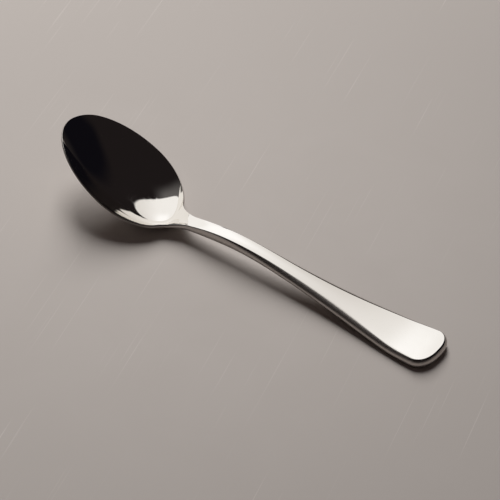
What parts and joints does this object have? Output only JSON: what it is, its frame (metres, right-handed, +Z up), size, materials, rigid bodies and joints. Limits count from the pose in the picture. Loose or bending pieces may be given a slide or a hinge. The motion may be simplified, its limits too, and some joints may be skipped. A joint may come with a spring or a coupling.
{
  "type": "teaspoon",
  "caption": "Teaspoon pressed from one piece of polished stainless steel, with an egg-shaped bowl, a narrow neck and a flat handle that flares to a rounded end.",
  "frame": {"origin": "centre of the spoon's outline seen from above, on the surface that the spoon rests on", "axes": "+X from the tip of the bowl towards the end of the handle, +Y across the spoon, +Z up out of the hollow of the bowl"},
  "size_m": [0.137, 0.0304, 0.0229],
  "materials": {
    "polished_steel": "mirror polish with faint wiping marks"
  },
  "bodies": {
    "root": {"teaspoon": "polished_steel"}
  },
  "joints": []
}
